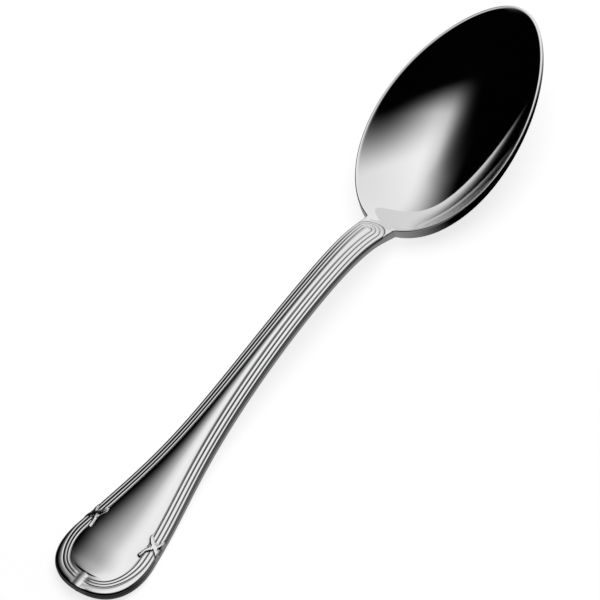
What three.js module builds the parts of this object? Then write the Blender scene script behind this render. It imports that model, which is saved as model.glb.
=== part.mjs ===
// A table spoon lying on its back: an egg-shaped bowl and a spatula-ended handle with a reeded border.
// Millimetres, +Z up, Z = 0 is the table. X runs along the spoon, handle end at -X, bowl tip at +X.
// While the shape is drawn X = 0 is the notch where rim and handle meet; the group then centres it.
import * as THREE from "three";

// Plan, seen from above
const HANDLE_LENGTH = 134.8;
const BOWL_LENGTH = 70.2;
const BOWL_WIDTH = 43.45;
const BOWL_EGG = -0.1; // shifts the widest place of the bowl towards the handle
const BOWL_POINT = -0.053; // draws both ends of the bowl in
const BOWL_SETBACK = 0.2; // the egg's own end lies this far inside the handle
const FLARE_WIDTH = 26; // where the widening handle turns into its rounded end
const FLARE_FROM_END = 16.8;
const FLARE_SLOPE = 0.165;
const FLARE_RUN = 29.2;
const END_SHOULDER = 7.3; // how far the rounded end keeps its width
const END_BLUNTNESS = 12.4;
const WAIST_WIDTH = 8.4;
const WAIST_FROM_NOTCH = 24;
const WAIST_RUN = 64;
const NECK_WIDTH = 9.3;
const NOTCH_ROUND = 0.7;
const NOTCH_REACH = 9; // how far the neck's width runs on inside the rim

// Side profile: heights of the upper edge over the table
const RIM_TILT = THREE.MathUtils.degToRad(14.5);
const END_RISE = 1.65; // the handle's end turns up by this much
const DIP_FROM_END = 18.8; // where the handle touches the table
const DIP_RUN = 26.8;
const CREST_RISE = 9.7; // the shank's crest over the dip
const CREST_FROM_NOTCH = 24.4;
const CREST_RUN = 34;
const NECK_RUN = 14.8;
const NECK_SLOPE = 0.527;
const NECK_SLOPE_RUN = 5.5;
const NECK_STEP = 0.2; // the handle meets the rim this much higher than the rim's own line
const NECK_ROUND = 0.8;

// Metal
const BOWL_DEPTH = 9.48;
const BOWL_TAPER = 0.133; // how much shallower the bowl runs out towards its tip
const BOWL_SQUARENESS = 0.23; // over zero, the bowl's walls stand steeper than a paraboloid's
const HEEL_DEPTH = 8.62;
const HEEL_SWELL = 4.42; // the deeper hollow just behind the neck
const HEEL_SWELL_RUN = 9.5;
const LIP_ROUND = 0.5; // depth over which the bowl rolls into its rim
const SHEET_THICKNESS = 1.4;
const SHEET_FROM_NOTCH = 14; // past this the bowl's floor has its own thickness
const HEEL_EDGE = 4.2; // the thick shoulders where the handle spreads into the rim
const HEEL_REACH = 8;
const RIM_THICKNESS = 2.9; // upright, over the sloping wall
const RIM_FROM_NOTCH = 42;
const END_THICKNESS = 2.9; // below the border's outer edge, as the next two
const END_REACH = 27;
const SHANK_THICKNESS = 2.8;
const SHANK_REACH = 40;
const NECK_THICKNESS = 3.3;
const EDGE_SHARE = 0.9; // the handle's edge, as a share of its middle thickness
const REST_FLAT = 0.15; // depth of the worn flats that touch the table

// Border of three reeds, tied with crossed ribbons
const REED_COUNT = 3;
const REED_PITCH_SHANK = 1.08;
const REED_PITCH_END = 1.42;
const REED_HEIGHT = 0.28;
const REED_FLATNESS = 3; // two would be half-round backs, more is flatter with narrower grooves
const EDGE_ROUND = 0.45;
const BORDER_TILT_SHANK = 0.4; // the border rises inwards by this slope
const BORDER_TILT_END = 0.3;
const PANEL_DROP = 0.14;
const PANEL_FILLET = 0.35;
const PANEL_SLOPE_SHANK = 0.25; // the panel's crown: its slope at the edge, and the steeper roll there
const PANEL_SLOPE_END = 0.13;
const PANEL_ROLL = 0.2;
const ARCH_MARGIN = 0.3;
const LEAF_SHARE = 0.6; // past the ribbons the outer reed widens into a leaf
const LEAF_TIP = 2.5;
const LEAF_FALL = 0.5;
const RIBBON_FROM_END = 21.6;
const RIBBON_HALF_SPAN = 3.3;
const RIBBON_WIDTH = 1.15;
const RIBBON_HEIGHT = 0.28;
const RIBBON_OVERHANG = 0.1;
const TIE_WIDTH = 2.3;

// Mesh density
const CAP_STEPS = 36;
const FLARE_STEPS = 56;
const NECK_STEPS = 30;
const CROWD_AT_RIBBON = 1.5;
const CROWD_AT_NECK = 1.7;
const REED_STEPS = 4;
const PANEL_STEPS = 6;
const UNDER_STEPS = 8;
const BOWL_STEPS = 40;
const BOWL_COLUMNS = 24;

// The bowl and the handle meet on this plane, just past the end of the border
const JOINT_X = 0.6;

const OUTSIDE_BOWL = -1.6; // past this share of its half length the egg's formula is held
const OUTSIDE_ACROSS = 1.2;
const HEEL_HELD = -0.33;
const HALVINGS = 40;
const SEARCH_STEP = 0.25;
const TINY = 1e-6;

const STEEL_COLOUR = 0xc9ccd0;
const { lerp, smoothstep, clamp } = THREE.MathUtils;

// The larger of two values, with the corner between them rounded off.
function smoothMax(first, second, rounding) {
  return (first + second + Math.hypot(first - second, rounding)) / 2;
}

// The height of a plane curve that runs one way along X, found by halving its parameter.
function valueAt(curve, x) {
  const rising = curve.v3.x > curve.v0.x;
  let low = 0;
  let high = 1;
  for (let step = 0; step < HALVINGS; step += 1) {
    const middle = (low + high) / 2;
    const before = curve.getPoint(middle).x < x;
    if (before === rising) low = middle;
    else high = middle;
  }
  return curve.getPoint((low + high) / 2).y;
}

function bezier(...corners) {
  return new THREE.CubicBezierCurve(...corners.map(([x, y]) => new THREE.Vector2(x, y)));
}

// Half outline of the handle, from its end to the notch
const endX = -HANDLE_LENGTH;
const flareX = endX + FLARE_FROM_END;
const flareHalf = FLARE_WIDTH / 2;
const waistHalf = WAIST_WIDTH / 2;
const neckHalf = NECK_WIDTH / 2;
const capCurve = bezier(
  [endX, 0],
  [endX, END_BLUNTNESS],
  [flareX - END_SHOULDER, flareHalf + FLARE_SLOPE * END_SHOULDER],
  [flareX, flareHalf],
);
const flareCurve = bezier(
  [flareX, flareHalf],
  [flareX + FLARE_RUN, flareHalf - FLARE_SLOPE * FLARE_RUN],
  [-WAIST_FROM_NOTCH - WAIST_RUN, waistHalf],
  [-WAIST_FROM_NOTCH, waistHalf],
);

function shankHalfWidth(x) {
  const along = clamp(1 + x / WAIST_FROM_NOTCH, 0, 1);
  return lerp(waistHalf, neckHalf, along * along);
}

// The bowl's egg: its half width squared, negative outside its length.
function bowlHalfWidthSquared(x) {
  const half = (BOWL_LENGTH + BOWL_SETBACK) / 2;
  const u = Math.max((x + BOWL_SETBACK) / half - 1, OUTSIDE_BOWL);
  const egg = 1 + BOWL_EGG * u + BOWL_POINT * u * u;
  return (BOWL_WIDTH / 2) ** 2 * (1 - u * u) * egg * egg;
}

// Half width of the whole outline near the bowl: the neck runs into the egg through a small round.
function halfWidth(x) {
  const bowl = Math.sqrt(Math.max(bowlHalfWidthSquared(x), 0));
  const fade = 1 - smoothstep(x, 0, NOTCH_REACH);
  return smoothMax(bowl, shankHalfWidth(x) * fade, NOTCH_ROUND * fade);
}

// Depth of the bowl's hollow under the rim, deeper behind the neck and rolling off softly at the lip.
function hollow(x, y) {
  const egg = bowlHalfWidthSquared(x);
  const run = Math.max(x / HEEL_SWELL_RUN, HEEL_HELD);
  const level = BOWL_DEPTH * (1 - (BOWL_TAPER * x) / BOWL_LENGTH);
  const heel = (HEEL_SWELL * Math.E * run - BOWL_DEPTH + HEEL_DEPTH) * Math.exp(-run);
  const across = clamp((y * y) / Math.max(egg, TINY), 0, OUTSIDE_ACROSS);
  const inside = (egg - y * y) / (BOWL_WIDTH / 2) ** 2;
  return smoothMax((level + heel) * inside * (1 + BOWL_SQUARENESS * across), 0, LIP_ROUND);
}

// Thickness of the metal, measured upright, at a share of the half width.
function thickness(x, across) {
  const shank = lerp(END_THICKNESS, SHANK_THICKNESS, smoothstep(x, endX + END_REACH, -SHANK_REACH));
  const neck = lerp(shank, NECK_THICKNESS, smoothstep(x, -WAIST_FROM_NOTCH, 0));
  const middle = lerp(neck, SHEET_THICKNESS, smoothstep(x, 0, SHEET_FROM_NOTCH));
  const shoulder = lerp(neck * EDGE_SHARE, HEEL_EDGE, smoothstep(x, -HEEL_REACH, HEEL_REACH));
  const edge = lerp(shoulder, RIM_THICKNESS, smoothstep(x, HEEL_REACH, RIM_FROM_NOTCH));
  return lerp(middle, edge, across * across);
}

// The rim's height at the notch lets the back of the tilted bowl just reach the table.
function rimHeightAtNotch() {
  let lowest = Infinity;
  for (let x = 0; x < BOWL_LENGTH; x += SEARCH_STEP) {
    lowest = Math.min(lowest, Math.tan(RIM_TILT) * x - hollow(x, 0) - thickness(x, 0));
  }
  return -lowest - REST_FLAT;
}

const rimNotch = rimHeightAtNotch();
const notchTop = rimNotch + NECK_STEP;
const dipX = endX + DIP_FROM_END;
const dipTop = thickness(dipX, 0) - REST_FLAT;
const crestTop = dipTop + CREST_RISE;
const endProfile = bezier(
  [endX, dipTop + END_RISE],
  [endX + DIP_FROM_END / 3, dipTop + END_RISE / 2],
  [dipX - DIP_FROM_END / 3, dipTop],
  [dipX, dipTop],
);
const backProfile = bezier(
  [dipX, dipTop],
  [dipX + DIP_RUN, dipTop],
  [-CREST_FROM_NOTCH - CREST_RUN, crestTop],
  [-CREST_FROM_NOTCH, crestTop],
);
const neckProfile = bezier(
  [-CREST_FROM_NOTCH, crestTop],
  [NECK_RUN - CREST_FROM_NOTCH, crestTop],
  [-NECK_SLOPE_RUN, notchTop + NECK_SLOPE * NECK_SLOPE_RUN],
  [0, notchTop],
);

function handleTop(x) {
  if (x < dipX) return valueAt(endProfile, x);
  if (x < -CREST_FROM_NOTCH) return valueAt(backProfile, x);
  if (x < 0) return valueAt(neckProfile, x);
  return notchTop - NECK_SLOPE * x;
}

// Upper edge of handle and rim, one line from end to tip.
function edgeHeight(x) {
  return smoothMax(handleTop(x), rimNotch + Math.tan(RIM_TILT) * x, NECK_ROUND);
}

function topHeight(x, y) {
  return edgeHeight(x) - hollow(x, y);
}

function underHeight(x, y, halfWidth) {
  const across = halfWidth > 0 ? Math.abs(y) / halfWidth : 1;
  return Math.max(topHeight(x, y) - thickness(x, across), 0);
}

// The border closes in nested arches round this centre, at the neck.
const archX = -neckHalf;
const archRadius = halfWidth(archX);

// How far the handle has widened between waist and flare.
function widened(halfWidth) {
  return smoothstep(halfWidth, waistHalf, flareHalf);
}

// The drop of the rounded upper edge, full at the edge itself.
function edgeDrop(x, inset) {
  const radius = EDGE_ROUND * (1 - smoothstep(x, archX, JOINT_X));
  if (inset >= radius) return 0;
  const share = 1 - inset / radius;
  return radius * (1 - Math.sqrt(1 - share * share));
}

// Reeds: rounded ridges side by side, the outer one widening into the leaf.
function reedRelief(inset, edges) {
  const reed = edges.findIndex((edge) => inset < edge - TINY) - 1;
  if (reed < 0) return -REED_HEIGHT;
  const offCentre = (2 * (inset - edges[reed])) / (edges[reed + 1] - edges[reed]) - 1;
  const back = Math.max(1 - Math.abs(offCentre) ** REED_FLATNESS, 0);
  return REED_HEIGHT * (back ** (1 / REED_FLATNESS) - 1);
}

// The panel inside the border: a small step down, then a crown that rolls off towards its edge.
function panelRelief(past, panelHalf, wide) {
  const fillet = clamp(past / PANEL_FILLET, 0, 1);
  const share = 1 - clamp(past - PANEL_FILLET, 0, panelHalf) / Math.max(panelHalf, TINY);
  const slope = lerp(PANEL_SLOPE_SHANK, PANEL_SLOPE_END, wide);
  const crown = (slope * (1 - share ** 2)) / 2 + (PANEL_ROLL * (1 - share ** 4)) / 4;
  return lerp(-REED_HEIGHT, -PANEL_DROP, fillet) + crown * panelHalf;
}

// Border and panel together, over the handle's edge line.
function borderRelief(inset, edges, panelHalf, wide, grown) {
  if (inset < 0) return -REED_HEIGHT * Math.max(0, 1 + inset / ARCH_MARGIN);
  const band = edges.at(-1);
  const rise = lerp(BORDER_TILT_SHANK, BORDER_TILT_END, wide) * Math.min(inset, band + PANEL_FILLET);
  const out = clamp(1 - inset / edges[1], 0, 1);
  const fall = grown * LEAF_FALL * out * out;
  const past = inset - band;
  return rise - fall + (past < -TINY ? reedRelief(inset, edges) : panelRelief(past, panelHalf, wide));
}

// Two ribbons swing across the border and cross; a third band ties it at the very end.
function ribbonRelief(fromRibbon, fromEnd, inset, band, wide) {
  if (inset > band + RIBBON_OVERHANG + RIBBON_WIDTH) return -Infinity;
  const turn = clamp(fromRibbon / RIBBON_HALF_SPAN, -1, 1);
  const swing = (band / 2 + RIBBON_OVERHANG) * Math.sin((turn * Math.PI) / 2);
  const slope = ((band / 2 + RIBBON_OVERHANG) * Math.PI) / (2 * RIBBON_HALF_SPAN);
  const steep = Math.hypot(1, slope * Math.cos((turn * Math.PI) / 2));
  const past = Math.abs(fromRibbon) - RIBBON_HALF_SPAN;
  const aside = Math.min(Math.abs(inset - band / 2 - swing), Math.abs(inset - band / 2 + swing)) / steep;
  const strand = Math.hypot(aside, Math.max(past, 0)) / (RIBBON_WIDTH / 2);
  const tie = inset < band + PANEL_FILLET ? (2 * fromEnd) / TIE_WIDTH : 1;
  const lift = Math.max(1 - strand ** 2, 1 - tie ** 2);
  const rise = lerp(BORDER_TILT_SHANK, BORDER_TILT_END, wide) * inset;
  return lift > 0 ? rise - PANEL_DROP + RIBBON_HEIGHT * Math.sqrt(lift) : -Infinity;
}

// Stations along half the handle's outline: place, inward direction and distance from the end.
function handleStations() {
  const stations = [];
  const add = (point, inward, arc) => stations.push({ point, inward, arc });
  const inwardOf = (tangent) => new THREE.Vector2(tangent.y, -tangent.x).normalize();
  for (let i = 0; i < CAP_STEPS; i += 1) {
    const u = i / CAP_STEPS;
    const inward = i === 0 ? new THREE.Vector2(1, 0) : inwardOf(capCurve.getTangentAt(u));
    add(capCurve.getPointAt(u), inward, u * capCurve.getLength());
  }
  for (let i = 0; i < FLARE_STEPS; i += 1) {
    const u = (i / FLARE_STEPS) ** CROWD_AT_RIBBON;
    const arc = capCurve.getLength() + u * flareCurve.getLength();
    add(flareCurve.getPointAt(u), inwardOf(flareCurve.getTangentAt(u)), arc);
  }
  const shankArc = capCurve.getLength() + flareCurve.getLength();
  for (let i = 0; i <= NECK_STEPS; i += 1) {
    const run = (JOINT_X + WAIST_FROM_NOTCH) * (1 - (1 - i / NECK_STEPS) ** CROWD_AT_NECK);
    const x = run - WAIST_FROM_NOTCH;
    add(new THREE.Vector2(x, halfWidth(x)), new THREE.Vector2(0, -1), shankArc + run);
  }
  return stations;
}

function handleRows() {
  const stations = handleStations();
  const ribbonArc = stations.find((s) => s.point.x > endX + RIBBON_FROM_END).arc;
  const topRows = [];
  const underRows = [];
  const leafEnd = ribbonArc - LEAF_TIP;
  for (const { point, inward, arc } of stations) {
    const half = point.y;
    const wide = widened(Math.min(half, point.x > archX ? archRadius : half));
    const band = REED_COUNT * lerp(REED_PITCH_SHANK, REED_PITCH_END, wide);
    const grown = smoothstep(leafEnd - arc, 0, leafEnd / 2);
    const leaf = band * lerp(1 / REED_COUNT, LEAF_SHARE, grown);
    const inner = (band - leaf) / (REED_COUNT - 1);
    const edges = [0, ...Array.from({ length: REED_COUNT }, (_, reed) => leaf + inner * reed)];
    const place = (inset) => {
      const scale = point.x > archX ? half / archRadius : 1;
      const x = point.x + inward.x * inset;
      const y = Math.max(point.y + inward.y * inset * scale, 0);
      return new THREE.Vector2(x, y);
    };
    const panelInset = band + PANEL_FILLET;
    const panelHalf = place(panelInset).y;
    const lifted = (x, y, inset) => {
      const beyondArch = x > archX;
      const depthIn = beyondArch ? archRadius - Math.hypot(x - archX, y) : inset;
      const border = borderRelief(depthIn, edges, panelHalf, wide, grown);
      const ribbon = beyondArch ? -Infinity : ribbonRelief(arc - ribbonArc, arc, inset, band, wide);
      const drop = edgeDrop(x, inset);
      return new THREE.Vector3(x, y, topHeight(x, y) + Math.max(border, ribbon) - drop);
    };
    const leftSide = [];
    for (let j = 0; j <= REED_COUNT * REED_STEPS; j += 1) {
      const reed = Math.min(Math.floor(j / REED_STEPS), REED_COUNT - 1);
      const inset = lerp(edges[reed], edges[reed + 1], j / REED_STEPS - reed);
      const at = place(inset);
      leftSide.push(lifted(at.x, at.y, inset));
    }
    const rim = place(panelInset);
    for (let k = 0; k <= PANEL_STEPS / 2; k += 1) {
      const y = rim.y * (1 - (2 * k) / PANEL_STEPS);
      leftSide.push(lifted(rim.x, y, panelInset + rim.y - y));
    }
    const rightSide = leftSide.slice(0, -1).reverse();
    topRows.push([...leftSide, ...rightSide.map((p) => new THREE.Vector3(p.x, -p.y, p.z))]);
    underRows.push(underRow(point.x, half, UNDER_STEPS));
  }
  return { topRows, underRows };
}

function underRow(x, half, steps) {
  return Array.from({ length: steps + 1 }, (_, k) => {
    const y = half * Math.cos((Math.PI * k) / steps);
    return new THREE.Vector3(x, y, underHeight(x, y, half));
  });
}

function bowlRows() {
  const topRows = [];
  const underRows = [];
  for (let i = 0; i <= BOWL_STEPS; i += 1) {
    const x = lerp(JOINT_X, BOWL_LENGTH, (1 - Math.cos((Math.PI * i) / BOWL_STEPS)) / 2);
    const half = i === BOWL_STEPS ? 0 : halfWidth(x);
    const under = underRow(x, half, BOWL_COLUMNS);
    topRows.push(under.map((p) => new THREE.Vector3(x, p.y, topHeight(x, p.y))));
    underRows.push(under);
  }
  return { topRows, underRows };
}

// A closed skin from upper and under rows that run from +Y to -Y, station by station along +X.
function loft({ topRows, underRows }, capStation) {
  const corners = [];
  const triangle = (a, b, c) => {
    const distinct = Math.min(a.distanceTo(b), b.distanceTo(c), c.distanceTo(a)) > TINY;
    if (distinct) corners.push(a, b, c);
  };
  const quad = (a, b, c, d) => {
    triangle(a, b, c);
    triangle(a, c, d);
  };
  for (let i = 0; i + 1 < topRows.length; i += 1) {
    const [top, topNext] = [topRows[i], topRows[i + 1]];
    const [under, underNext] = [underRows[i], underRows[i + 1]];
    for (let c = 0; c + 1 < top.length; c += 1) {
      quad(top[c], top[c + 1], topNext[c + 1], topNext[c]);
    }
    for (let c = 0; c + 1 < under.length; c += 1) {
      quad(under[c], underNext[c], underNext[c + 1], under[c + 1]);
    }
    quad(topNext[0], underNext[0], under[0], top[0]);
    quad(top.at(-1), under.at(-1), underNext.at(-1), topNext.at(-1));
  }
  const faceForward = capStation > 0;
  const loop = [...topRows.at(capStation), ...[...underRows.at(capStation)].reverse()];
  const flat = loop.map((p) => new THREE.Vector2(p.y, p.z));
  for (const [a, b, c] of THREE.ShapeUtils.triangulateShape(flat, [])) {
    const turn = flat[b].clone().sub(flat[a]).cross(flat[c].clone().sub(flat[a]));
    if (turn > 0 === faceForward) triangle(loop[a], loop[b], loop[c]);
    else triangle(loop[a], loop[c], loop[b]);
  }
  const geometry = new THREE.BufferGeometry().setFromPoints(corners);
  geometry.computeVertexNormals();
  return geometry;
}

function steelMesh(name, geometry) {
  const material = new THREE.MeshStandardMaterial({ color: STEEL_COLOUR, roughness: 0.12, metalness: 1 });
  const mesh = new THREE.Mesh(geometry, material);
  mesh.name = name;
  return mesh;
}

const handle = handleRows();
const spoon = new THREE.Group();
spoon.add(steelMesh("handle", loft(handle, handle.topRows.length - 1)));
spoon.add(steelMesh("bowl", loft(bowlRows(), 0)));
spoon.position.x = (HANDLE_LENGTH - BOWL_LENGTH) / 2;

export default spoon;
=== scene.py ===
"""A polished table spoon on a pale floor: egg-shaped bowl, arched neck, flared and reeded handle."""

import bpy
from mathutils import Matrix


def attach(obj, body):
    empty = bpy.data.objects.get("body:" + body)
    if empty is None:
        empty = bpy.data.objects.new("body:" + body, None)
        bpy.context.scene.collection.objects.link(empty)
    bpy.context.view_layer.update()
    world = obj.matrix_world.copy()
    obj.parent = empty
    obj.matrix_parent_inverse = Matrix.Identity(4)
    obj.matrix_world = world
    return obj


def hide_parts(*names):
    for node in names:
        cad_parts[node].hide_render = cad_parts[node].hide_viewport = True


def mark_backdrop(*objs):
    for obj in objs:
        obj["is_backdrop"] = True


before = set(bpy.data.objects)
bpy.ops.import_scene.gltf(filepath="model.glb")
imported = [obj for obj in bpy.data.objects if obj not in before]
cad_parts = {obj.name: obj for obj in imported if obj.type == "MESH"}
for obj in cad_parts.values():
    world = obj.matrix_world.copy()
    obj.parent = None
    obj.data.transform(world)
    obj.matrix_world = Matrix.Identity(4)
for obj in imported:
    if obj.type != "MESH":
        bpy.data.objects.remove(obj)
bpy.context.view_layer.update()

import logging
import math
from dataclasses import dataclass, field
from enum import Enum

import bpy
import numpy as np
from mathutils import Matrix, Vector

LOG = logging.getLogger("spoon")
Array = np.ndarray
Pair = tuple[float, float]
Triple = tuple[float, float, float]
Colour = tuple[float, float, float, float]
MILLIMETRE = 0.001
TINY = 1e-6
ROUNDING_SLACK = 1e-9
WHITE: Colour = (1.0, 1.0, 1.0, 1.0)


class Axis(Enum):
    """The directions of the part's frame."""

    X = (1.0, 0.0, 0.0)
    Y = (0.0, 1.0, 0.0)
    Z = (0.0, 0.0, 1.0)


class Ray(Enum):
    """The kinds of ray that the stage tells apart."""

    CAMERA = "Is Camera Ray"
    MIRRORED = "Is Glossy Ray"
    PASSING = "Is Transmission Ray"


def smooth_max(first: Array, second: Array, rounding: float) -> Array:
    """Takes the larger of two values, with the corner between them rounded off.

    Args:
        first: One value or array.
        second: The other.
        rounding: How wide the rounding is, in the values' own unit.

    Returns:
        The rounded maximum.
    """
    return (first + second + np.hypot(first - second, rounding)) / 2


def smooth_step(value: Array, low: float, high: float) -> Array:
    """Rises from 0 at low to 1 at high, level at both ends.

    Args:
        value: Where to read the step.
        low: Where it starts.
        high: Where it ends.

    Returns:
        The step's height, from 0 to 1.
    """
    share = np.clip((value - low) / (high - low), 0.0, 1.0)
    return share * share * (3.0 - 2.0 * share)


def blend(low: Array, high: Array, share: Array) -> Array:
    """Goes straight from one value to another.

    Args:
        low: The value at share 0.
        high: The value at share 1.
        share: How far along.

    Returns:
        The value between.
    """
    return low + (high - low) * share


def bezier(*corners: Pair, count: int = 800) -> Array:
    """Draws a cubic curve through the plane.

    Args:
        corners: Its four control points.
        count: How many points to return.

    Returns:
        Points along the curve, one row each.
    """
    t = np.linspace(0.0, 1.0, count)[:, None]
    start, leave, arrive, end = (np.array(corner) for corner in corners)
    near = (1 - t) ** 3 * start + 3 * (1 - t) ** 2 * t * leave
    return near + 3 * (1 - t) * t**2 * arrive + t**3 * end


def quarter_round(inset: Array, radius: Array) -> Array:
    """Gives the drop of a rounded corner, full at the edge and none a radius inside it.

    Args:
        inset: Distance in from the edge.
        radius: The corner's radius.

    Returns:
        How far the surface lies below its flat continuation.
    """
    share = 1.0 - np.clip(inset / radius, 0.0, 1.0)
    return radius * (1.0 - np.sqrt(1.0 - share * share))


@dataclass(frozen=True)
class SpoonForm:
    """The spoon's sizes in millimetres and the surfaces that follow from them.

    X runs along the spoon and is zero at the notch where rim and handle meet.
    """

    handle_length: float = 134.8
    bowl_length: float = 70.2
    bowl_width: float = 43.45
    bowl_egg: float = -0.1
    bowl_point: float = -0.053
    bowl_setback: float = 0.2
    egg_reach: float = 1.6
    flare_width: float = 26.0
    flare_from_end: float = 16.8
    flare_slope: float = 0.165
    flare_run: float = 29.2
    end_shoulder: float = 7.3
    end_bluntness: float = 12.4
    waist_width: float = 8.4
    waist_from_notch: float = 24.0
    waist_run: float = 64.0
    neck_width: float = 9.3
    notch_round: float = 0.7
    notch_reach: float = 9.0
    rim_tilt: float = math.radians(14.5)
    end_rise: float = 1.65
    dip_from_end: float = 18.8
    dip_run: float = 26.8
    crest_rise: float = 9.7
    crest_from_notch: float = 24.4
    crest_run: float = 34.0
    neck_run: float = 14.8
    neck_slope: float = 0.527
    neck_slope_run: float = 5.5
    neck_step: float = 0.2
    neck_round: float = 0.8
    bowl_depth: float = 9.48
    bowl_taper: float = 0.133
    heel_depth: float = 8.62
    heel_swell: float = 4.42
    heel_swell_run: float = 9.5
    bowl_squareness: float = 0.23
    squareness_limit: float = 1.2
    lip_softness: float = 0.6
    lip_radius: float = 1.0
    under_radius: float = 0.4
    sheet_thickness: float = 1.4
    sheet_from_notch: float = 14.0
    heel_edge: float = 4.2
    heel_reach: float = 8.0
    rim_thickness: float = 2.9
    rim_from_notch: float = 42.0
    end_thickness: float = 2.9
    end_reach: float = 27.0
    shank_thickness: float = 2.8
    shank_reach: float = 40.0
    neck_thickness: float = 3.3
    edge_share: float = 0.9
    rest_flat: float = 0.15
    rest_step: float = 0.25
    line_softness: float = 2.0
    search_step: float = 0.05

    @property
    def end_x(self) -> float:
        """Where the handle ends."""
        return -self.handle_length

    @property
    def centre_x(self) -> float:
        """Shift that puts the middle of the spoon at X = 0."""
        return (self.handle_length - self.bowl_length) / 2

    def egg_squared(self, x: Array) -> Array:
        """Squares the bowl's half width; the result is negative outside the bowl.

        Args:
            x: Places along the spoon.

        Returns:
            The half width squared.
        """
        half = (self.bowl_length + self.bowl_setback) / 2
        u = np.maximum((x + self.bowl_setback) / half - 1, -self.egg_reach)
        egg = 1 + self.bowl_egg * u + self.bowl_point * u * u
        return (self.bowl_width / 2) ** 2 * (1 - u * u) * egg * egg

    def half_width(self, x: Array) -> Array:
        """Gives the outline's half width from the waist to the bowl's tip.

        Args:
            x: Places along the spoon.

        Returns:
            The half width there.
        """
        bowl = np.sqrt(np.maximum(self.egg_squared(x), 0.0))
        fade = 1 - smooth_step(x, 0.0, self.notch_reach)
        along = np.clip(1 + x / self.waist_from_notch, 0.0, 1.0)
        shank = blend(self.waist_width / 2, self.neck_width / 2, along**2)
        return smooth_max(bowl, shank * fade, self.notch_round * fade)

    def hollow(self, x: Array, y: Array) -> Array:
        """Gives the depth of the bowl's hollow under the rim.

        Args:
            x: Places along the spoon.
            y: Places across it.

        Returns:
            The depth there.
        """
        egg = self.egg_squared(x)
        run = np.maximum(x, -self.heel_swell_run / 3) / self.heel_swell_run
        level = self.bowl_depth * (1 - self.bowl_taper * x / self.bowl_length)
        heel = (self.heel_swell * math.e * run - self.bowl_depth + self.heel_depth) * np.exp(-run)
        across = np.clip(y * y / np.maximum(egg, TINY), 0.0, self.squareness_limit)
        inside = (egg - y * y) / (self.bowl_width / 2) ** 2
        depth = (level + heel) * inside * (1 + self.bowl_squareness * across)
        return smooth_max(depth, 0.0, self.lip_softness)

    def thickness(self, x: Array, across: Array) -> Array:
        """Gives the metal's upright thickness.

        Args:
            x: Places along the spoon.
            across: Share of the half width, 1 at the edge.

        Returns:
            The thickness there.
        """
        shank = blend(
            self.end_thickness,
            self.shank_thickness,
            smooth_step(x, self.end_x + self.end_reach, -self.shank_reach),
        )
        neck = blend(shank, self.neck_thickness, smooth_step(x, -self.waist_from_notch, 0.0))
        middle = blend(neck, self.sheet_thickness, smooth_step(x, 0.0, self.sheet_from_notch))
        shoulder = blend(
            neck * self.edge_share, self.heel_edge, smooth_step(x, -self.heel_reach, self.heel_reach)
        )
        edge = blend(shoulder, self.rim_thickness, smooth_step(x, self.heel_reach, self.rim_from_notch))
        return blend(middle, edge, across**2)

    def rim_at_notch(self) -> float:
        """Finds the rim's height at the notch that lets the bowl's back just reach the table.

        Returns:
            The height.
        """
        x = np.arange(0.0, self.bowl_length, self.rest_step)
        back = math.tan(self.rim_tilt) * x - self.hollow(x, 0 * x) - self.thickness(x, 0 * x)
        return float(-back.min() - self.rest_flat)

    def handle_line(self) -> Array:
        """Draws the handle's upper edge in side view, from its end to the notch.

        Returns:
            Places along the spoon and heights, one row per point.
        """
        top = self.rim_at_notch() + self.neck_step
        dip_x = self.end_x + self.dip_from_end
        dip = float(self.thickness(np.array(dip_x), np.array(0.0))) - self.rest_flat
        crest_x = -self.crest_from_notch
        crest = dip + self.crest_rise
        third = self.dip_from_end / 3
        rising_end = bezier(
            (self.end_x, dip + self.end_rise),
            (self.end_x + third, dip + self.end_rise / 2),
            (dip_x - third, dip),
            (dip_x, dip),
        )
        back = bezier(
            (dip_x, dip),
            (dip_x + self.dip_run, dip),
            (crest_x - self.crest_run, crest),
            (crest_x, crest),
        )
        run = self.neck_slope_run
        neck = bezier(
            (crest_x, crest),
            (crest_x + self.neck_run, crest),
            (-run, top + self.neck_slope * run),
            (0.0, top),
        )
        return np.vstack([rising_end, back[1:], neck[1:]])

    def edge_height(self, x: Array) -> Array:
        """Gives the height of the handle's and the rim's upper edge, softened along the handle.

        Args:
            x: Places along the spoon.

        Returns:
            The height there.
        """
        line = self.handle_line()
        soft_reach = 4 * self.line_softness
        margin = 2 * soft_reach
        s = np.arange(self.end_x - margin, self.bowl_length + margin, self.search_step)
        first, second = line[0], line[1]
        end_slope = (second[1] - first[1]) / (second[0] - first[0])
        height = np.interp(s, line[:, 0], line[:, 1])
        height = np.where(s < self.end_x, first[1] + end_slope * (s - self.end_x), height)
        height = np.where(s > 0.0, line[-1, 1] - self.neck_slope * s, height)
        reach = np.arange(-soft_reach, soft_reach, self.search_step)
        weights = np.exp(-0.5 * (reach / self.line_softness) ** 2)
        soft = np.convolve(height, weights / weights.sum(), "same")
        rim = self.rim_at_notch() + math.tan(self.rim_tilt) * s
        return np.interp(x, s, smooth_max(soft, rim, self.neck_round))


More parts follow.
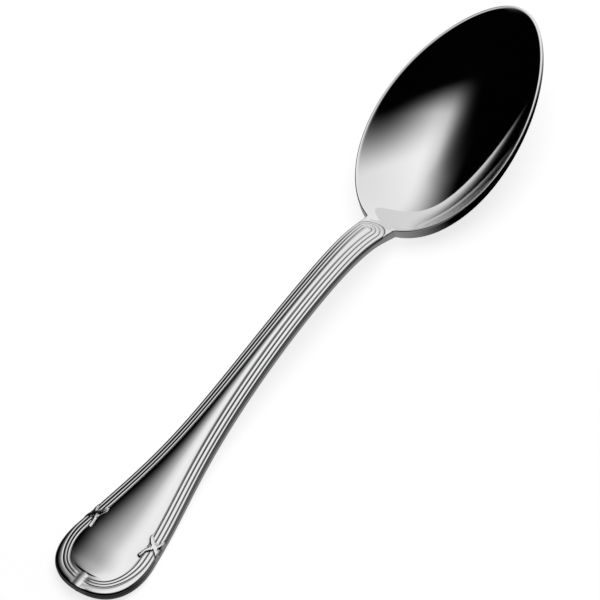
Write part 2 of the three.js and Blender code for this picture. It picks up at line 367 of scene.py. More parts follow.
@dataclass(frozen=True)
class Border:
    """The reeds along the handle's edge, the leaf, ribbons and tie at its end, and the panel between.

    Lengths are in millimetres. Slopes, shares and powers are plain numbers.
    """

    reeds: int = 3
    pitch_shank: float = 1.08
    pitch_end: float = 1.16
    height: float = 0.2
    flatness: float = 3.4
    slant: float = 2.0
    inner_drop: float = 1.6
    full_width: float = 0.9
    tilt_shank: float = 0.34
    tilt_end: float = 0.3
    edge_round: float = 0.6
    leaf_fall: float = 0.2
    panel_drop: float = 0.14
    panel_fillet: float = 0.35
    panel_fillet_end: float = 1.0
    panel_slope_shank: float = 0.25
    panel_slope_end: float = 0.13
    panel_roll: float = 0.2
    panel_end_crown: float = 0.35
    panel_end_run: float = 10.0
    arch_margin: float = 0.3
    leaf_share: float = 0.6
    leaf_tip: float = 2.5
    leaf_level: float = 0.5
    leaf_height: float = 0.4
    leaf_extra: float = 0.8
    leaf_growth: float = 0.55
    ribbon_from_end: float = 21.6
    ribbon_half_span: float = 3.0
    ribbon_width: float = 1.3
    ribbon_height: float = 0.4
    ribbon_overhang: float = 0.25
    ribbon_point: float = 0.3
    ribbon_taper: int = 3
    hook_length: float = 0.9
    hook_reach: float = 0.35
    hook_share: float = 0.7
    hook_points: int = 4
    moat_depth: float = 0.2
    moat_reach: float = 0.4
    strap_points: int = 17
    strap_far: float = 9.0
    tie_width: float = 2.4
    tie_height: float = 0.11
    tie_lobe: float = 1.2
    tie_calm: float = 2.4
    tie_spread: float = 0.4
    tie_reach: float = 1.3
    tie_crease: float = 1.5
    reed_calm: float = 0.3
    painted_shade_reach: float = 0.19

    def band(self, wide: Array, grown: Array) -> Array:
        """Gives the width of the whole border.

        Args:
            wide: How far the handle has widened, from 0 to 1.
            grown: How far the leaf has grown, from 0 to 1.

        Returns:
            The width.
        """
        return self.reeds * blend(self.pitch_shank, self.pitch_end, wide) + self.leaf_extra * grown

    def leaf_part(self, grown: Array) -> Array:
        """Gives the share of the border's width that its outer reed or the leaf takes.

        Args:
            grown: How far the leaf has grown, from 0 to 1.

        Returns:
            The share.
        """
        return blend(1 / self.reeds, self.leaf_share, grown)

    def fillet(self, grown: Array) -> Array:
        """Gives the width of the round between border and panel.

        Args:
            grown: How far the leaf has grown, from 0 to 1.

        Returns:
            The width.
        """
        return blend(self.panel_fillet, self.panel_fillet_end, grown)

    def rise(self, inset: Array, wide: Array, grown: Array) -> Array:
        """Gives the height of the inward-rising slope that the border lies on.

        Args:
            inset: Distance in from the border's outer edge.
            wide: How far the handle has widened, from 0 to 1.
            grown: How far the leaf has grown, from 0 to 1.

        Returns:
            The height.
        """
        tilt = blend(self.tilt_shank, self.tilt_end, wide) * (1 - self.leaf_level * grown)
        return tilt * np.maximum(inset, 0.0)

    def ridges(self, inset: Array, band: Array, grown: Array) -> Array:
        """Gives the rounded backs of the reeds, the outer one growing into the leaf.

        Args:
            inset: Distance in from the border's outer edge.
            band: The border's whole width.
            grown: How far the leaf has grown, from 0 to 1.

        Returns:
            The relief, zero on every back.
        """
        leaf = band * self.leaf_part(grown)
        pitch = (band - leaf) / (self.reeds - 1)
        relief = np.zeros(np.broadcast(inset, band).shape)
        for reed in range(self.reeds):
            lower = leaf + pitch * (reed - 1) if reed else 0 * leaf
            width = pitch if reed else leaf
            off_centre = np.clip(2 * (inset - lower) / width - 1, -1.0, 1.0)
            deep = self.height * (1 - self.reed_calm * grown) * np.minimum(width / self.full_width, 1.0)
            outward = (1 - np.clip(-off_centre, 0.0, 1.0) ** self.flatness) ** (1 / self.flatness) - 1
            drop = self.inner_drop if reed == self.reeds - 1 else 1.0
            back = deep * (outward - drop * np.clip(off_centre, 0.0, 1.0) ** self.slant)
            if reed == 0:
                back = blend(back, self.leaf_height * (np.sqrt(1 - off_centre**2) - 1), grown)
            relief = np.where((inset >= lower) & (inset <= lower + width), back, relief)
        out = np.clip(1 - inset / leaf, 0.0, 1.0)
        return relief - grown * self.leaf_fall * out**2

    def painted_shade(self, inset: Array, band: Array, grown: Array) -> Array:
        """Tells how near a place is to one of the lines between the reeds, where the metal gets painted
        shade.

        Args:
            inset: Distance in from the border's outer edge.
            band: The border's whole width.
            grown: How far the leaf has grown, from 0 to 1.

        Returns:
            One on a line, falling to zero beside it.
        """
        leaf = band * self.leaf_part(grown)
        pitch = (band - leaf) / (self.reeds - 1)
        lines = [0 * leaf] + [leaf + pitch * reed for reed in range(self.reeds)]
        nearness = [1 - np.abs(inset - line) / self.painted_shade_reach for line in lines]
        return np.clip(np.max(nearness, axis=0), 0.0, 1.0)

    def relief(self, inset: Array, wide: Array, grown: Array, panel_half: Array, ahead: Array) -> Array:
        """Gives the height of border and panel against the handle's edge line.

        Args:
            inset: Distance in from the border's outer edge.
            wide: How far the handle has widened, from 0 to 1.
            grown: How far the leaf has grown, from 0 to 1.
            panel_half: Half the width of the panel between the borders.
            ahead: Distance along the spoon from the panel's own end.

        Returns:
            The relief.
        """
        band = self.band(wide, grown)
        round_width = self.fillet(grown)
        past = inset - band
        fillet = np.clip(past / round_width, 0.0, 1.0)
        into = np.clip(past - round_width, 0.0, panel_half)
        share = 1 - into / np.maximum(panel_half, TINY)
        slope = blend(self.panel_slope_shank, self.panel_slope_end, wide)
        crown = slope * (1 - share**2) / 2 + self.panel_roll * (1 - share**4) / 4
        crown = crown * blend(self.panel_end_crown, 1.0, smooth_step(ahead, 0.0, self.panel_end_run))
        foot = self.height * self.inner_drop * (1 - self.reed_calm * grown)
        panel = blend(-foot, -self.panel_drop, fillet * (2 - fillet)) + crown * panel_half
        outside = -self.height * np.clip(1 + inset / self.arch_margin, 0.0, 1.0)
        rise = self.rise(np.minimum(inset, band + round_width), wide, grown)
        ridges = self.ridges(inset, band, grown)
        return rise + np.where(inset < 0, outside, np.where(past >= -ROUNDING_SLACK, panel, ridges))

    def strap(self, relief: Array, base: Array, place: tuple[Array, Array], line: Array) -> Array:
        """Lays one rounded strap over the border, with a moat along its sides.

        Args:
            relief: The relief so far.
            base: The slope that the strap lies on.
            place: Distances along the edge from the strap's own origin, and in from the edge.
            line: The strap's middle line in the same two distances and its half width, one row per point.

        Returns:
            The relief with the strap.
        """
        along, inset = place
        beyond = np.full(relief.shape, self.strap_far)
        ratio = np.full(relief.shape, self.strap_far)
        for start, end in zip(line, line[1:]):
            run_a, run_d, swell = end - start
            share = ((along - start[0]) * run_a + (inset - start[1]) * run_d) / (run_a**2 + run_d**2)
            share = np.clip(share, 0.0, 1.0)
            away = np.hypot(along - start[0] - share * run_a, inset - start[1] - share * run_d)
            half = start[2] + share * swell
            beyond = np.minimum(beyond, away - half)
            ratio = np.minimum(ratio, away / half)
        beside = np.clip(1 - beyond / self.moat_reach, 0.0, 1.0)
        back = self.ribbon_height * np.sqrt(np.maximum(1 - ratio**2, 0.0))
        lowered = relief - self.moat_depth * beside * beside
        raised = np.maximum(base - self.panel_drop + back, relief - self.moat_depth)
        return np.where(ratio < 1, raised, lowered)

    def crossing(self, relief: Array, base: Array, place: tuple[Array, Array], band: float) -> Array:
        """Lays the two crossed ribbons over the border.

        Args:
            relief: The relief so far.
            base: The slope that the border lies on.
            place: Distances along the edge from the crossing, rising toward the bowl, and in from the edge.
            band: The border's width at the crossing.

        Returns:
            The relief with both ribbons.
        """
        turn = np.linspace(-1.0, 1.0, self.strap_points)
        swing = (band / 2 + self.ribbon_overhang) * np.sin(turn * math.pi / 2)
        reach = self.ribbon_half_span * turn
        half = self.ribbon_width / 2 * blend(1.0, self.ribbon_point, np.abs(turn) ** self.ribbon_taper)
        upper = np.stack([reach, band / 2 + swing, half], axis=1)
        lower = np.stack([reach, band / 2 - swing, half], axis=1)
        hook = lower[0] - np.array([self.hook_length, -self.hook_reach, 0.0])
        hook_half = self.ribbon_width / 2 * self.hook_share
        lower[: self.hook_points, 2] = hook_half
        hook[2] = hook_half
        relief = self.strap(relief, base, place, np.vstack([hook, lower]))
        return self.strap(relief, base, place, upper)

    def tie(self, relief: Array, base: Array, place: tuple[Array, Array], band: float) -> Array:
        """Lays the tie over the border at the handle's end.

        Args:
            relief: The relief so far.
            base: The slope that the border lies on.
            place: Distances along the edge from the handle's end, and in from the edge.
            band: The border's width at the end.

        Returns:
            The relief with the tie.
        """
        along, inset = place
        share = np.clip(inset / band, 0.0, self.tie_reach)
        past = np.clip(inset - band, 0.0, None) / self.tie_lobe
        width = self.tie_width * (1 + self.tie_spread * share)
        fold = np.clip(1 - (2 * along / width) ** 2 - past**2, 0.0, 1.0)
        calm = 1 - smooth_step(along, self.tie_width / 2, self.tie_width / 2 + self.tie_calm)
        plain = base - self.panel_drop * share
        border = blend(relief, plain, calm * np.where(inset < band, 1.0, 0.0))
        return border + self.tie_height * fold**self.tie_crease


class Socket:
    """A shader value that takes part in Python arithmetic."""

    def __init__(self, board: "NodeBoard", socket: bpy.types.NodeSocket | None) -> None:
        """Wraps one output socket of a board, or none for a node that ends a tree."""
        self.board = board
        self.socket = socket

    def maths(self, operation: str, *others: "Socket | float") -> "Socket":
        """Adds a Math node that starts from this value.

        Args:
            operation: The Math node's operation.
            others: Its further inputs.

        Returns:
            The node's value.
        """
        inputs = dict(enumerate((self, *others)))
        return self.board.node("ShaderNodeMath", {"operation": operation}, inputs)

    def __add__(self, other: "Socket | float") -> "Socket":
        """Adds."""
        return self.maths("ADD", other)

    def __sub__(self, other: "Socket | float") -> "Socket":
        """Subtracts."""
        return self.maths("SUBTRACT", other)

    def __mul__(self, other: "Socket | float") -> "Socket":
        """Multiplies."""
        return self.maths("MULTIPLY", other)

    def __rsub__(self, other: float) -> "Socket":
        """Subtracts this value from a number."""
        return self.board.node("ShaderNodeMath", {"operation": "SUBTRACT"}, {0: other, 1: self})

    __radd__ = __add__
    __rmul__ = __mul__

    def step(self, low: float, high: float) -> "Socket":
        """Rises smoothly from 0 to 1 between two values.

        Args:
            low: Where the rise starts.
            high: Where it ends.

        Returns:
            The risen value.
        """
        settings = {"interpolation_type": "SMOOTHSTEP"}
        inputs = {"Value": self, "From Min": low, "From Max": high}
        return self.board.node("ShaderNodeMapRange", settings, inputs)


class NodeBoard:
    """A material's or world's node tree, cleared and filled through one method."""

    def __init__(self, owner: bpy.types.Material | bpy.types.World) -> None:
        """Takes over a node tree and empties it."""
        owner.use_nodes = True
        self.tree = owner.node_tree
        self.tree.nodes.clear()

    def node(self, kind: str, settings: dict, inputs: dict, output: int | str = 0) -> Socket:
        """Adds a node, sets it up and links it.

        Args:
            kind: The node's type.
            settings: Its own properties, set first.
            inputs: Values or sockets for its inputs, by name or number.
            output: Which output to return.

        Returns:
            The wrapped output.
        """
        made = self.tree.nodes.new(kind)
        for name, value in settings.items():
            setattr(made, name, value)
        for name, value in inputs.items():
            if isinstance(value, Socket):
                self.tree.links.new(value.socket, made.inputs[name])
            else:
                made.inputs[name].default_value = value
        return Socket(self, made.outputs[output]) if made.outputs else Socket(self, None)

    def place(self) -> Socket:
        """Gives the point's place in the object's own space."""
        return self.node("ShaderNodeTexCoord", {}, {}, "Object")

    def ray(self, kind: Ray) -> Socket:
        """Tells whether a ray is of one kind."""
        return self.node("ShaderNodeLightPath", {}, {}, kind.value)

    def glow(self, strength: Socket | float) -> Socket:
        """Makes a white light of the given strength."""
        return self.node("ShaderNodeEmission", {}, {"Color": WHITE, "Strength": strength})

    def mix(self, share: Socket, first: Colour, second: Colour) -> Socket:
        """Mixes two colours, through the Mix node's colour sockets: inputs 6 and 7, and output 2."""
        inputs = {"Factor": share, 6: first, 7: second}
        return self.node("ShaderNodeMix", {"data_type": "RGBA"}, inputs, 2)

    def along(self, place: Socket, direction: Triple) -> Socket:
        """Measures a place along a direction.

        Args:
            place: The place.
            direction: The direction to measure along.

        Returns:
            The distance along it.
        """
        inputs = {0: place, 1: direction}
        return self.node("ShaderNodeVectorMath", {"operation": "DOT_PRODUCT"}, inputs, "Value")

    def surface(self, shader: Socket, kind: str = "ShaderNodeOutputMaterial") -> None:
        """Ends the tree with a shader."""
        self.node(kind, {}, {"Surface": shader})


@dataclass(frozen=True)
class PolishedSteel:
    """Stainless steel with a mirror polish and faint wipe marks, and painted shade: a darker base colour in
    the lines of the border and round the ribbons.
    """

    colour: Colour = (0.79, 0.79, 0.795, 1.0)
    painted_shade_colour: Colour = (0.16, 0.16, 0.165, 1.0)
    roughness: float = 0.035
    dulling: float = 0.025
    smear_scale: float = 55.0
    smear_stretch: Triple = (0.35, 1.0, 1.0)
    smear_detail: float = 5.0
    smear_grain: float = 0.6
    smear_span: Pair = (0.45, 0.75)

    def material(self) -> bpy.types.Material:
        """Makes the finish.

        Returns:
            The material.
        """
        made = bpy.data.materials.new("polished_steel")
        board = NodeBoard(made)
        place = board.place()
        stretched = board.node("ShaderNodeMapping", {}, {"Vector": place, "Scale": self.smear_stretch})
        marks = {"Vector": stretched, "Scale": self.smear_scale}
        marks |= {"Detail": self.smear_detail, "Roughness": self.smear_grain}
        smear = board.node("ShaderNodeTexNoise", {}, marks)
        painted_shade = board.node("ShaderNodeAttribute", {"attribute_name": "painted_shade"}, {}, "Fac")
        polish = {
            # painted shade: the base colour falls to about a fifth in the lines between the reeds and round
            # the ribbons; the grooves themselves are modelled
            "Base Color": board.mix(painted_shade, self.colour, self.painted_shade_colour),
            "Metallic": 1.0,
            "Roughness": self.roughness + self.dulling * smear.step(*self.smear_span),
        }
        board.surface(board.node("ShaderNodeBsdfPrincipled", {}, polish))
        return made


@dataclass
class Stations:
    """Places along half the spoon's outline, from the handle's end to the bowl's tip."""

    x: Array
    half: Array
    inward_x: Array
    inward_y: Array
    arc: Array


@dataclass
class Spoon:
    """The whole spoon as one unbroken skin of metal."""

    form: SpoonForm = field(default_factory=SpoonForm)
    border: Border = field(default_factory=Border)
    finish: PolishedSteel = field(default_factory=PolishedSteel)
    outline_points: int = 3000
    cap_steps: int = 110
    flare_steps: int = 150
    neck_steps: int = 26
    arch_steps: int = 56
    bowl_steps: int = 116
    bowl_start: float = 1.0
    flare_grading: float = 1.35
    tangent_reach: float = 0.05
    slope_reach: float = 0.01
    reed_columns: int = 54
    fillet_columns: int = 3
    panel_columns: int = 16
    panel_grading: float = 1.6
    wall_columns: int = 3
    corner_columns: int = 6
    under_columns: int = 12
    weld: float = 2e-6
    sliver: float = 1e-6

    @property
    def arch_x(self) -> float:
        """Centre of the arches that close the border at the neck."""
        return -self.form.neck_width / 2

    def handle_outline(self) -> Array:
        """Draws half the handle's outline, from its end over the flare to the waist.

        Returns:
            Places along and across, one row per point. The rounded end takes the first outline_points.
        """
        form = self.form
        flare_x = form.end_x + form.flare_from_end
        flare_half = form.flare_width / 2
        waist_half = form.waist_width / 2
        cap = bezier(
            (form.end_x, 0.0),
            (form.end_x, form.end_bluntness),
            (flare_x - form.end_shoulder, flare_half + form.flare_slope * form.end_shoulder),
            (flare_x, flare_half),
            count=self.outline_points,
        )
        flare = bezier(
            (flare_x, flare_half),
            (flare_x + form.flare_run, flare_half - form.flare_slope * form.flare_run),
            (-form.waist_from_notch - form.waist_run, waist_half),
            (-form.waist_from_notch, waist_half),
            count=self.outline_points,
        )
        return np.vstack([cap, flare[1:]])

    def stations(self) -> Stations:
        """Sets out the stations along the outline, from the handle's end to the bowl's tip.

        Returns:
            The stations.
        """
        form = self.form
        line = self.handle_outline()
        run = np.concatenate([[0.0], np.cumsum(np.hypot(*np.diff(line, axis=0).T))])
        cap_run = run[self.outline_points - 1]
        shares = np.linspace(0, 1, self.flare_steps + 1)[:-1] ** self.flare_grading
        arc = np.concatenate(
            [np.linspace(0, cap_run, self.cap_steps + 1)[:-1], cap_run + shares * (run[-1] - cap_run)]
        )
        x = np.interp(arc, run, line[:, 0])
        half = np.interp(arc, run, line[:, 1])
        ahead = np.minimum(arc + self.tangent_reach, run[-1])
        behind = np.maximum(arc - self.tangent_reach, 0.0)
        tangent_x = np.interp(ahead, run, line[:, 0]) - np.interp(behind, run, line[:, 0])
        tangent_y = np.interp(ahead, run, line[:, 1]) - np.interp(behind, run, line[:, 1])
        length = np.hypot(tangent_x, tangent_y)
        inward_x, inward_y = tangent_y / length, -tangent_x / length
        inward_x[0], inward_y[0] = 1.0, 0.0
        bowl_turn = np.linspace(0, np.pi, self.bowl_steps + 1)
        straight = np.concatenate(
            [
                np.linspace(-form.waist_from_notch, self.arch_x, self.neck_steps + 1)[:-1],
                np.linspace(self.arch_x, self.bowl_start, self.arch_steps + 1)[:-1],
                self.bowl_start + (form.bowl_length - self.bowl_start) * (1 - np.cos(bowl_turn)) / 2,
            ]
        )
        straight_half = form.half_width(straight)
        straight_half[-1] = 0.0
        return Stations(
            np.concatenate([x, straight]),
            np.concatenate([half, straight_half]),
            np.concatenate([inward_x, 0 * straight]),
            np.concatenate([inward_y, 0 * straight - 1]),
            np.concatenate([arc, run[-1] + form.waist_from_notch + straight]),
        )

    def columns(
        self, rows: Stations, insets: Array, inner: Array, even: Array
    ) -> tuple[Array, Array, Array]:
        """Lays columns from the left edge to the middle line at every station.

        Args:
            rows: The stations.
            insets: Distances in from the edge, one row per station.
            inner: Shares of the way from the last inset to the middle line.
            even: Shares of the half width that the columns take over the bowl.

        Returns:
            Places along and across, and distances in from the edge.
        """
        form = self.form
        x = rows.x[:, None] + rows.inward_x[:, None] * insets
        y = np.maximum(rows.half[:, None] + rows.inward_y[:, None] * insets, 0.0)
        edge_y = y[:, -1:]
        x = np.hstack([x, np.repeat(x[:, -1:], len(inner), axis=1)])
        y = np.hstack([y, edge_y * (1 - inner)])
        depth = np.hstack([insets, insets[:, -1:] + edge_y * inner])
        arch_row = int(np.argmin(np.abs(rows.x - self.arch_x)))
        neck_shares = y[arch_row] / rows.half[arch_row]
        beyond = rows.x > rows.x[arch_row]
        ease = smooth_step(rows.x[beyond], self.bowl_start, form.notch_reach * 2)[:, None]
        shares = blend(neck_shares[None, :], even[None, :], ease)
        x[beyond] = rows.x[beyond, None]
        y[beyond] = rows.half[beyond, None] * shares
        depth[beyond] = rows.half[beyond, None] - y[beyond]
        return x, y, depth

    def rim_inset(self, x: Array, y: Array) -> Array:
        """Measures how far a place lies inside the outline near the bowl.

        Args:
            x: Places along the spoon.
            y: Places across it.

        Returns:
            The distance to the outline, to first order.
        """
        form = self.form
        reach = self.slope_reach
        inside = form.half_width(x) ** 2
        slope = (form.half_width(x + reach) ** 2 - form.half_width(x - reach) ** 2) / (2 * reach)
        return np.maximum(inside - y * y, 0.0) / np.maximum(np.hypot(slope, 2 * y), TINY)

    def border_insets(self, band: Array, grown: Array) -> Array:
        """Places the columns over the border, the same number on every reed.

        Args:
            band: The border's width at each station.
            grown: How far the leaf has grown there, from 0 to 1.

        Returns:
            Distances in from the edge, one row per station.
        """
        even = np.linspace(0, 1, self.reed_columns + 1)
        outer = 1 / self.border.reeds
        leaf = self.border.leaf_part(grown)
        inner_reeds = leaf + (1 - leaf) * (even - outer) / (1 - outer)
        reeds = np.where(even < outer, leaf * even / outer, inner_reeds)
        fillet = np.linspace(0, 1, self.fillet_columns + 1)[1:]
        return np.hstack([band * reeds, band + self.border.fillet(grown) * fillet])

    def top_side(self, rows: Stations) -> tuple[Array, Array, Array, Array]:
        """Shapes the left half of the upper face.

        Args:
            rows: The stations.

        Returns:
            The points' three coordinates and how deep in the border's lines each lies, one row per station.
        """
        form, border = self.form, self.border
        arch_radius = float(form.half_width(np.array(self.arch_x)))
        half = np.where(rows.x > self.arch_x, arch_radius, rows.half)
        wide = smooth_step(half, form.waist_width / 2, form.flare_width / 2)[:, None]
        handle_x = rows.x[: self.cap_steps + self.flare_steps]
        crossing = int(np.argmin(np.abs(handle_x - form.end_x - border.ribbon_from_end)))
        leaf_end = rows.arc[crossing] - border.leaf_tip
        grown = smooth_step(leaf_end - rows.arc[:, None], 0.0, border.leaf_growth * leaf_end)
        band = border.band(wide, grown)
        insets = self.border_insets(band, grown)
        inner = np.linspace(0, 1, self.panel_columns + 1)[1:] ** self.panel_grading
        even = np.sin(np.linspace(np.pi / 2, 0, insets.shape[1] + len(inner)))
        x, y, depth = self.columns(rows, insets, inner, even)
        panel_half = y[:, insets.shape[1] - 1][:, None]
        beyond = x > self.arch_x
        inset = np.where(beyond, arch_radius - np.hypot(x - self.arch_x, y), depth)
        from_end = rows.arc[:, None] + 0 * x
        ahead = x - x[0, insets.shape[1] - 1]
        relief = border.relief(inset, wide + 0 * x, grown + 0 * x, panel_half, ahead)
        base = border.rise(depth, wide, grown)
        from_crossing = from_end - rows.arc[crossing]
        dressed = border.crossing(relief, base, (from_crossing, depth), float(band[crossing, 0]))
        dressed = border.tie(dressed, base, (from_end, depth), float(band[0, 0]))
        # painted shade: darker colour along the lines between the reeds and in the moats round the ribbons,
        # none on the straps
        painted_shade = border.painted_shade(inset, band, grown)
        moat = np.clip((relief - dressed) / border.moat_depth, 0.0, 1.0)
        on_strap = dressed > relief + TINY
        painted_shade = np.where(beyond, painted_shade, np.where(on_strap, 0.0, np.maximum(painted_shade, moat)))
        relief = np.where(beyond, relief, dressed)
        outline = np.where(beyond, self.rim_inset(x, y), depth)
        radius = blend(border.edge_round, form.lip_radius, smooth_step(x, 0.0, form.notch_reach))
        relief = relief - quarter_round(outline, radius)
        return x, y, form.edge_height(x) - form.hollow(x, y) + relief, painted_shade

    def under_side(self, rows: Stations) -> tuple[Array, Array, Array, Array]:
        """Shapes the left half of the underside.

        Args:
            rows: The stations.

        Returns:
            The points' three coordinates and a zero for each, one row per station.
        """
        form = self.form
        corner = 1 - np.cos(np.linspace(0, np.pi / 2, self.corner_columns + 1))
        insets = np.tile(form.under_radius * corner, (len(rows.x), 1))
        inner = np.linspace(0, 1, self.under_columns + 1)[1:]
        even = np.sin(np.linspace(np.pi / 2, 0, insets.shape[1] + len(inner)))
        x, y, depth = self.columns(rows, insets, inner, even)
        bowl_half = form.half_width(x)
        half = np.where(rows.x[:, None] > -form.waist_from_notch, bowl_half, y + depth)
        across = np.clip(y / np.maximum(half, TINY), 0.0, 1.0)
        inset = np.where(rows.x[:, None] > self.arch_x, self.rim_inset(x, y), depth)
        lower = form.edge_height(x) - form.hollow(x, y) - form.thickness(x, across)
        return x, y, np.maximum(lower + quarter_round(inset, form.under_radius), 0.0), 0 * x

    def girths(self) -> Array:
        """Joins upper face, walls and underside into closed girths, one per station.

        Returns:
            Points by station and column: three coordinates in metres, in the part's frame, and the painted
            shade in the border's lines.
        """
        rows = self.stations()
        top = np.stack(self.top_side(rows), axis=-1)
        under = np.stack(self.under_side(rows), axis=-1)
        shares = np.linspace(0, 1, self.wall_columns + 2)[1:-1, None]
        wall = blend(under[:, None, 0], top[:, None, 0], shares)
        wall[..., 3] = 0.0
        mirror = np.array([1.0, -1.0, 1.0, 1.0])
        left = np.concatenate([wall, top], axis=1)
        right = np.concatenate([top[:, ::-1][:, 1:], wall[:, ::-1]], axis=1) * mirror
        below_right = under * mirror
        below_left = under[:, ::-1][:, 1:]
        girth = np.concatenate([left, right, below_right, below_left], axis=1)
        girth[..., 0] += self.form.centre_x
        return girth * np.array([MILLIMETRE, MILLIMETRE, MILLIMETRE, 1.0])

    def build(self) -> bpy.types.Object:
        """Draws a grid over the girths and closes it into one skin.

        Returns:
            The spoon's object.
        """
        girths = self.girths()
        stations, around = girths.shape[:2]
        bpy.ops.object.select_all(action="DESELECT")
        bpy.ops.mesh.primitive_grid_add(x_subdivisions=around - 1, y_subdivisions=stations - 1)
        spoon = bpy.context.object
        spoon.name = "spoon"
        spoon.data.name = "spoon"
        spoon.data.vertices.foreach_set("co", girths[..., :3].astype(np.float32).ravel())
        # the painted shade goes to the material as a point attribute
        painted_shade = spoon.data.attributes.new("painted_shade", "FLOAT", "POINT")
        painted_shade.data.foreach_set("value", girths[..., 3].astype(np.float32).ravel())
        spoon.data.update()
        bpy.ops.object.mode_set(mode="EDIT")
        bpy.ops.mesh.select_all(action="SELECT")
        bpy.ops.mesh.remove_doubles(threshold=self.weld)
        bpy.ops.mesh.dissolve_degenerate(threshold=self.sliver)
        bpy.ops.mesh.normals_make_consistent(inside=False)
        bpy.ops.object.mode_set(mode="OBJECT")
        bpy.ops.object.shade_smooth()
        return spoon

    def dress(self, spoon: bpy.types.Object) -> None:
        """Gives the spoon its finish."""
        spoon.data.materials.append(self.finish.material())


def show_to_mirrors(piece: bpy.types.Object) -> None:
    """Hides a piece of the stage from all but mirrored rays."""
    for ray in ("camera", "shadow", "diffuse", "transmission"):
        setattr(piece, f"visible_{ray}", False)


@dataclass(frozen=True)
class SoftEdge:
    """One edge of the tent's white cloth: which way it lies and where it fades in."""

    toward: Triple
    start: float
    end: float


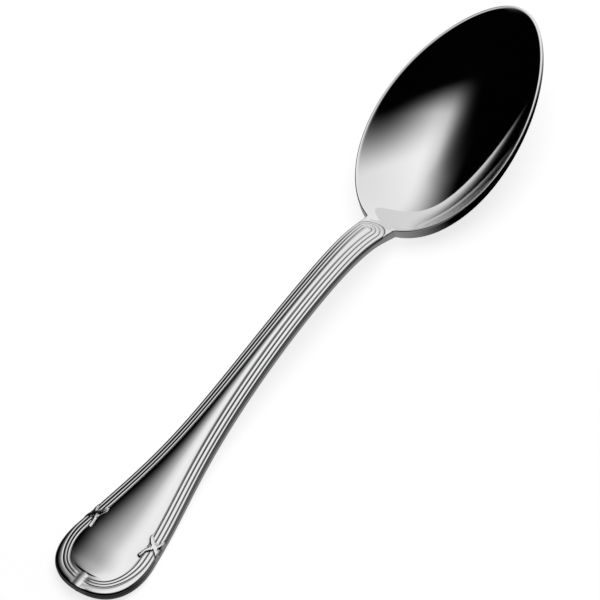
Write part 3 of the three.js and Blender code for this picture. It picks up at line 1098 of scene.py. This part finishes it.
@dataclass
class Studio:
    """The pale floor, the tent and the card that the metal mirrors, the lamp and the white surround.

    Lengths are in metres.
    """

    floor_size: float = 8.0
    floor_drop: float = 0.0002
    floor_colour: Colour = (0.82, 0.82, 0.82, 1.0)
    floor_glow: float = 0.75
    tent_radius: float = 1.0
    tent_segments: int = 64
    tent_strength: float = 1.072
    tent_black: float = 0.0006
    edges: tuple[SoftEdge, ...] = (
        SoftEdge((0.525, -0.643, -0.557), -0.955, -0.786),
        SoftEdge((0.771, 0.159, 0.617), 0.244, 0.357),
        SoftEdge((0.688, 0.523, 0.504), -0.073, 0.511),
        SoftEdge((0.420, -0.894, 0.155), -0.659, 0.124),
    )
    lean: Triple = (-0.14, 0.106, 0.0)
    lamp_power: float = 3.8
    lamp_size: float = 1.2
    lamp_place: Triple = (0.35, -0.1, 1.1)
    surround_light: float = 0.1
    floor_level: float = 0.26
    end_level: float = 0.06
    end_shade_fade: Pair = (-0.094, -0.08)
    bowl_shade_fade: Pair = (0.02, 0.042)
    under_level: float = 0.4
    under_shade_fade: Pair = (-0.022, 0.002)
    tip_level: float = 0.75
    tip_shade_fade: Pair = (0.11, 0.16)
    card_place: Triple = (-0.18, 0.08, 0.14)
    card_size: Pair = (0.56, 0.28)
    card_top: Pair = (-0.037, 0.246)
    card_side: Pair = (0.03, 0.09)

    def floor(self) -> bpy.types.Object:
        """Lays the pale floor, white to the camera and still able to hold a shadow.

        Mirrored rays see it darker, at levels that fade into each other along the spoon: painted shade that
        stands for the spoon's shadow on the floor, deepest under the handle's end and on one side of the
        bowl, lifting past the tip.

        Returns:
            The floor's object.
        """
        bpy.ops.object.select_all(action="DESELECT")
        bpy.ops.mesh.primitive_plane_add(size=self.floor_size, location=(0, 0, -self.floor_drop))
        floor = bpy.context.object
        floor.name = "floor"
        made = bpy.data.materials.new("pale_floor")
        board = NodeBoard(made)
        matt = board.node("ShaderNodeBsdfDiffuse", {}, {"Color": self.floor_colour})
        glow = board.glow(board.ray(Ray.CAMERA) * self.floor_glow)
        white = board.node("ShaderNodeAddShader", {}, {0: matt, 1: glow})
        place = board.place()
        along = board.along(place, Axis.X.value)
        across = board.along(place, Axis.Y.value)
        # painted shade for mirrored rays: glow levels by place standing for the spoon's shadow on the floor
        below_handle = self.end_level + (self.floor_level - self.end_level) * along.step(*self.end_shade_fade)
        below_bowl = self.under_level * across.step(*self.under_shade_fade)
        bowl = along.step(*self.bowl_shade_fade)
        before_tip = 1.0 - along.step(*self.tip_shade_fade)
        level = below_handle * (1.0 - bowl) + below_bowl * bowl * before_tip
        dim = board.glow(level + self.tip_level * (1.0 - before_tip))
        mirrored = board.ray(Ray.MIRRORED)
        board.surface(board.node("ShaderNodeMixShader", {}, {0: mirrored, 1: white, 2: dim}))
        floor.data.materials.append(made)
        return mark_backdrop(floor)

    def tent(self) -> bpy.types.Object:
        """Stands a tent over the spoon: one side a white soft box, the other black cloth.

        Returns:
            The tent's object.
        """
        bpy.ops.object.select_all(action="DESELECT")
        bpy.ops.mesh.primitive_uv_sphere_add(
            segments=self.tent_segments, ring_count=self.tent_segments // 2, radius=self.tent_radius
        )
        tent = bpy.context.object
        tent.name = "tent"
        bpy.ops.object.shade_smooth()
        made = bpy.data.materials.new("tent_cloth")
        board = NodeBoard(made)
        place = board.place()
        strength = board.along(place, tuple(c / self.tent_radius for c in self.lean)) + self.tent_strength
        for edge in self.edges:
            reach = board.along(place, tuple(c / self.tent_radius for c in edge.toward))
            strength = strength * reach.step(edge.start, edge.end)
        board.surface(board.glow(strength + self.tent_black))
        tent.data.materials.append(made)
        show_to_mirrors(tent)
        bpy.ops.object.mode_set(mode="EDIT")
        bpy.ops.mesh.select_all(action="SELECT")
        bpy.ops.mesh.bisect(plane_co=(0, 0, 0), plane_no=(0, 0, 1), clear_inner=True)
        bpy.ops.object.mode_set(mode="OBJECT")
        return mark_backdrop(tent)

    def card(self) -> bpy.types.Object:
        """Stands a black card behind the spoon for the metal to mirror, fading out upward and to the right.

        Returns:
            The card's object.
        """
        bpy.ops.object.select_all(action="DESELECT")
        bpy.ops.mesh.primitive_plane_add(size=1.0)
        card = bpy.context.object
        card.name = "black_card"
        card.data.transform(Matrix.Diagonal((*self.card_size, 1.0, 1.0)))
        card.data.transform(Matrix.Rotation(math.radians(90), 4, "X"))
        card.data.transform(Matrix.Translation(self.card_place))
        made = bpy.data.materials.new("black_card")
        board = NodeBoard(made)
        place = board.place()
        top = board.along(place, Axis.Z.value).step(*self.card_top)
        side = board.along(place, Axis.X.value).step(*self.card_side)
        gone = 1.0 - (1.0 - top) * (1.0 - side)
        black = board.glow(self.tent_black)
        clear = board.node("ShaderNodeBsdfTransparent", {}, {})
        board.surface(board.node("ShaderNodeMixShader", {}, {0: gone, 1: black, 2: clear}))
        card.data.materials.append(made)
        show_to_mirrors(card)
        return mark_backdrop(card)

    def lamp(self) -> None:
        """Hangs one broad lamp that lights the floor and gives the soft shadow."""
        data = bpy.data.lights.new("soft_lamp", "AREA")
        data.shape = "DISK"
        data.size = self.lamp_size
        data.energy = self.lamp_power
        lamp = bpy.data.objects.new("soft_lamp", data)
        lamp.location = self.lamp_place
        lamp.rotation_euler = Vector(lamp.location).to_track_quat("Z", "Y").to_euler()
        lamp.visible_glossy = False
        bpy.context.scene.collection.objects.link(lamp)

    def surround(self) -> None:
        """Fills the world with white for the camera and for mirrors, and with faint light otherwise."""
        world = bpy.data.worlds.new("surround")
        board = NodeBoard(world)
        camera, mirrored, passing = (board.ray(kind) for kind in Ray)
        seen = (camera + mirrored + passing).step(0.0, 1.0)
        strength = seen * (1 - self.surround_light) + self.surround_light
        light = board.node("ShaderNodeBackground", {}, {"Color": WHITE, "Strength": strength})
        board.surface(light, "ShaderNodeOutputWorld")
        bpy.context.scene.world = world

    def build(self) -> None:
        """Sets the whole stage."""
        self.floor()
        self.tent()
        self.card()
        self.lamp()
        self.surround()
        bpy.context.scene.view_settings.view_transform = "Standard"


@dataclass(frozen=True)
class PhotoCamera:
    """The camera at the photograph's viewing angle, tilted about its own axis as there."""

    turn: float = math.radians(37.3)
    elevation: float = math.radians(54.88)
    roll: float = math.radians(-17.36)
    distance: float = 1.956
    focal_pixels: float = 7172.8
    image_pixels: float = 600.0
    centre_pixel: Pair = (311.1, 322.17)
    sensor: float = 36.0
    clip_end: float = 50.0

    def build(self) -> bpy.types.Object:
        """Places the camera and makes it the scene's own.

        Returns:
            The camera's object.
        """
        toward = Vector(
            (
                -math.sin(self.turn) * math.cos(self.elevation),
                -math.cos(self.turn) * math.cos(self.elevation),
                math.sin(self.elevation),
            )
        )
        level = Vector((0, 0, 1)).cross(toward).normalized()
        down = -toward.cross(level)
        right = math.cos(self.roll) * level - math.sin(self.roll) * down
        below = math.sin(self.roll) * level + math.cos(self.roll) * down
        per_pixel = self.distance / self.focal_pixels
        aside, under = (pixel - self.image_pixels / 2 for pixel in self.centre_pixel)
        place = toward * self.distance - right * (aside * per_pixel) - below * (under * per_pixel)
        data = bpy.data.cameras.new("camera")
        data.sensor_width = self.sensor
        data.lens = self.focal_pixels * self.sensor / self.image_pixels
        data.clip_end = self.clip_end
        camera = bpy.data.objects.new("camera", data)
        turned = Matrix((right, -below, toward)).transposed().to_4x4()
        camera.matrix_world = Matrix.Translation(place) @ turned
        bpy.context.scene.collection.objects.link(camera)
        bpy.context.scene.camera = camera
        return camera


def main() -> None:
    """Builds the camera, the stage and the spoon, and reports the spoon's face count."""
    logging.basicConfig(level=logging.INFO, format="%(message)s")
    PhotoCamera().build()
    Studio().build()
    maker = Spoon()
    spoon = maker.build()
    maker.dress(spoon)
    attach(spoon, "root")
    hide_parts("bowl", "handle")
    LOG.info("%s: %d faces", spoon.name, len(spoon.data.polygons))


if __name__ == "__main__":
    main()
